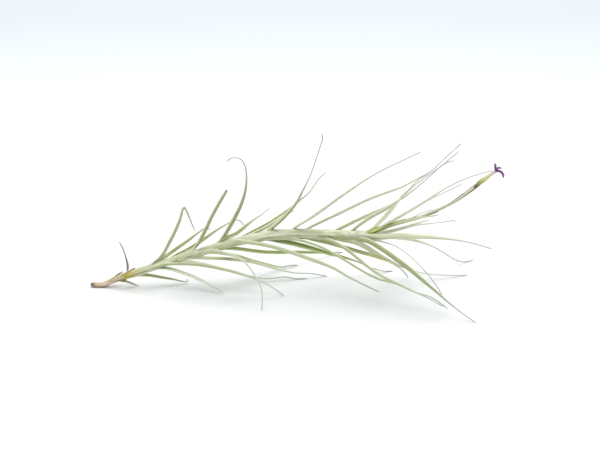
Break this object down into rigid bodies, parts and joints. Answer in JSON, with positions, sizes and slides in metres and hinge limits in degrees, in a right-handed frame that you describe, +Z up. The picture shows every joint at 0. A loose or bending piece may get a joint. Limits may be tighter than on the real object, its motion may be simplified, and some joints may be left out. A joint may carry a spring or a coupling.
{
  "type": "tillandsia marconae air plant",
  "caption": "Air plant with a leafy stem, long narrow tapering leaves and a purple flower on a slender stalk, lying on its lower leaf tips.",
  "frame": {"origin": "the flat spot under the foot of the stem, on the surface that the plant lies on", "axes": "+X along the surface from the foot towards the flower, +Y towards the back, +Z up"},
  "size_m": [0.1825, 0.0621, 0.0846],
  "materials": {
    "withered_tissue": "dry, matte, fibrous",
    "leaf": "soft matte green under silvery scales",
    "scape_green": "matte green, bract tips browned",
    "floral_bract_green": "soft satin yellow-green, cream at its tip",
    "petal_purple": "soft satin violet"
  },
  "bodies": {
    "root": {"old_stem": "withered_tissue", "leafy_stem": "leaf", "scape": "scape_green", "floral_bract": "floral_bract_green", "petals": "petal_purple"}
  },
  "joints": []
}
